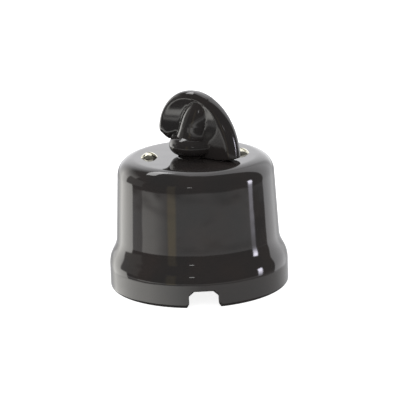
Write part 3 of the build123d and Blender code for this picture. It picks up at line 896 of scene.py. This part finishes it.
def calculate(nodes, links, operation, *values):
    """The result of a Math node on sockets and plain numbers."""
    maths = nodes.new("ShaderNodeMath")
    maths.operation = operation
    for socket, value in zip(maths.inputs, values):
        if isinstance(value, bpy.types.NodeSocket):
            links.new(value, socket)
        else:
            socket.default_value = value
    return maths.outputs["Value"]


def share_between(nodes, links, value, low, high):
    """Where a value lies between two limits, from 0 to 1."""
    limits = nodes.new("ShaderNodeMapRange")
    limits.inputs["From Min"].default_value = low
    limits.inputs["From Max"].default_value = high
    links.new(value, limits.inputs["Value"])
    return limits.outputs["Result"]


def height_share(height):
    """Where a height from -1 to 1 lies on a ramp."""
    return 0.5 * (height + 1.0)


def fade(nodes, links, value, limits):
    """A mask that fades in between the first two limits and out between the last two."""
    return ramp(
        nodes, links, value, [(stop, grey(share)) for stop, share in zip(limits, (0.0, 1.0, 1.0, 0.0))]
    )


def studio_mirror(nodes, links, place, height):
    """The light of the studio's bands and set, by place round the room and height."""
    bands = list(STUDIO_BANDS.values())
    tops = [band.height for band in bands[1:]] + [1.0]
    stops = []
    for band, top in zip(bands, tops):
        shade = grey(band.level / STUDIO_PEAK)
        stops += [(height_share(band.height + BAND_EDGE), shade), (height_share(top - BAND_EDGE), shade)]
    seen = ramp(nodes, links, height, stops)
    for piece in STUDIO_SET.values():
        in_place = fade(nodes, links, place, piece.places)
        in_height = fade(nodes, links, height, [height_share(value) for value in piece.heights])
        light = [piece.level / STUDIO_PEAK * share for share in piece.tint]
        over = nodes.new("ShaderNodeMix")
        over.data_type = "RGBA"
        links.new(calculate(nodes, links, "MULTIPLY", in_place, in_height), over.inputs["Factor"])
        links.new(seen, over.inputs[MIX_UNDER])
        over.inputs[MIX_OVER].default_value = (*light, 1.0)
        seen = over.outputs[MIX_RESULT]
    return seen


def background(nodes, shade, strength=1.0):
    """A world shader of one colour."""
    node = nodes.new("ShaderNodeBackground")
    node.inputs["Color"].default_value = (*shade, 1.0)
    node.inputs["Strength"].default_value = strength
    return node


def studio_world(world):
    """White surroundings for the camera, an even level for shading, and the studio's set for the glaze."""
    world.use_nodes = True
    nodes, links = world.node_tree.nodes, world.node_tree.links
    nodes.clear()
    rays = nodes.new("ShaderNodeLightPath")
    direction = nodes.new("ShaderNodeTexCoord")
    axes = nodes.new("ShaderNodeSeparateXYZ")
    links.new(direction.outputs["Generated"], axes.inputs["Vector"])
    bearing = calculate(nodes, links, "ARCTAN2", axes.outputs["X"], axes.outputs["Y"])
    place = share_between(nodes, links, bearing, -math.pi, math.pi)
    tilted = calculate(nodes, links, "MULTIPLY_ADD", axes.outputs["Y"], ROOM_TILT, axes.outputs["Z"])
    height = share_between(nodes, links, tilted, -1.0, 1.0)
    room = background(nodes, grey(1.0), STUDIO_PEAK)
    links.new(studio_mirror(nodes, links, place, height), room.inputs["Color"])
    even = background(nodes, grey(EVEN_LIGHT))
    white = background(nodes, grey(1.0))
    lit = mix_shaders(
        nodes, links, rays.outputs["Is Glossy Ray"], even.outputs["Background"], room.outputs["Background"]
    )
    through = calculate(
        nodes, links, "MAXIMUM", rays.outputs["Is Camera Ray"], rays.outputs["Is Transmission Ray"]
    )
    seen = mix_shaders(nodes, links, through, lit, white.outputs["Background"])
    output = nodes.new("ShaderNodeOutputWorld")
    links.new(seen, output.inputs["Surface"])


def studio_camera(stage, middle):
    """A camera on a circle about the middle, rolled and aimed a little beside it."""
    elevation, azimuth = stage.camera_elevation, stage.camera_azimuth
    back = Vector((
        math.sin(azimuth) * math.cos(elevation), -math.cos(azimuth) * math.cos(elevation), math.sin(elevation)
    ))
    right = Vector((math.cos(azimuth), math.sin(azimuth), 0.0))
    up = back.cross(right)
    roll = Matrix.Rotation(-stage.camera_roll, 3, back)
    eye = Vector(middle) + back * stage.camera_distance
    aim = Vector(middle) + roll @ right * stage.aim_right + roll @ up * stage.aim_up
    away = (eye - aim).normalized()
    across = (roll @ up).cross(away).normalized()
    upright = away.cross(across)
    bpy.ops.object.camera_add(location=eye)
    camera = bpy.context.object
    camera.name = camera.data.name = "studio_camera"
    camera.rotation_euler = Matrix((across, upright, away)).transposed().to_euler()
    camera.data.lens = stage.lens
    camera.data.sensor_width = SENSOR_WIDTH
    camera.data.clip_start = NEAREST_SEEN
    return camera


class SwitchStage(bpy.types.Operator):
    """Set the floor, the lights, the surroundings and the camera"""

    bl_idname = "object.switch_stage"
    bl_label = "Stage"

    def execute(self, context):
        stage = context.scene.switch_stage
        clear_selection()
        bpy.ops.mesh.primitive_plane_add(size=FLOOR_SIZE, location=(0.0, 0.0, 0.0))
        floor = context.object
        floor.name = floor.data.name = "studio_floor"
        floor.data.materials.append(floor_finish(stage.floor_colour))
        floor.visible_glossy = False
        middle = (0.0, 0.0, stage.aim_height)
        for name, lamp in STUDIO_LAMPS.items():
            area_light(name, lamp, middle)
        context.scene.world = bpy.data.worlds.new("studio_world")
        studio_world(context.scene.world)
        context.scene.camera = studio_camera(stage, middle)
        context.scene.view_settings.view_transform = "Standard"
        return {"FINISHED"}


OPERATORS = (
    SwitchCover, SwitchKnob, SwitchCoverScrews, SwitchBase, SwitchBrassWorks, SwitchSteelWorks,
    SwitchContacts, SwitchRotor, SwitchStage,
)
SETTINGS = {
    "switch_cover": SwitchCoverSizes,
    "switch_knob": SwitchKnobSizes,
    "switch_screws": SwitchScrewSizes,
    "switch_finishes": SwitchFinishes,
    "switch_stage": SwitchStageSettings,
}


class SwitchPanel(bpy.types.Panel):
    """Sidebar panel with the sizes, the colours and the operators in order"""

    bl_idname = "VIEW3D_PT_switch"
    bl_label = "Porcelain Rotary Switch"
    bl_space_type = "VIEW_3D"
    bl_region_type = "UI"
    bl_category = "Switch"

    def draw(self, context):
        for name, group in SETTINGS.items():
            column = self.layout.box().column()
            for entry in group.__annotations__:
                column.prop(getattr(context.scene, name), entry)
        for operator in OPERATORS:
            self.layout.operator(operator.bl_idname)


def register():
    """Adds the settings, the operators and the panel."""
    for name, group in SETTINGS.items():
        bpy.utils.register_class(group)
        setattr(bpy.types.Scene, name, PointerProperty(type=group))
    for operator in OPERATORS:
        bpy.utils.register_class(operator)
    bpy.utils.register_class(SwitchPanel)


def unregister():
    """Removes them again."""
    bpy.utils.unregister_class(SwitchPanel)
    for operator in reversed(OPERATORS):
        bpy.utils.unregister_class(operator)
    for name, group in reversed(SETTINGS.items()):
        delattr(bpy.types.Scene, name)
        bpy.utils.unregister_class(group)


def main():
    """Builds the switch and its stage."""
    register()
    bpy.ops.object.switch_cover()
    bpy.ops.object.switch_knob()
    bpy.ops.object.switch_cover_screws()
    bpy.ops.object.switch_base()
    bpy.ops.object.switch_brass_works()
    bpy.ops.object.switch_steel_works()
    bpy.ops.object.switch_contacts()
    bpy.ops.object.switch_rotor()
    bpy.ops.object.switch_stage()


if __name__ == "__main__":
    main()
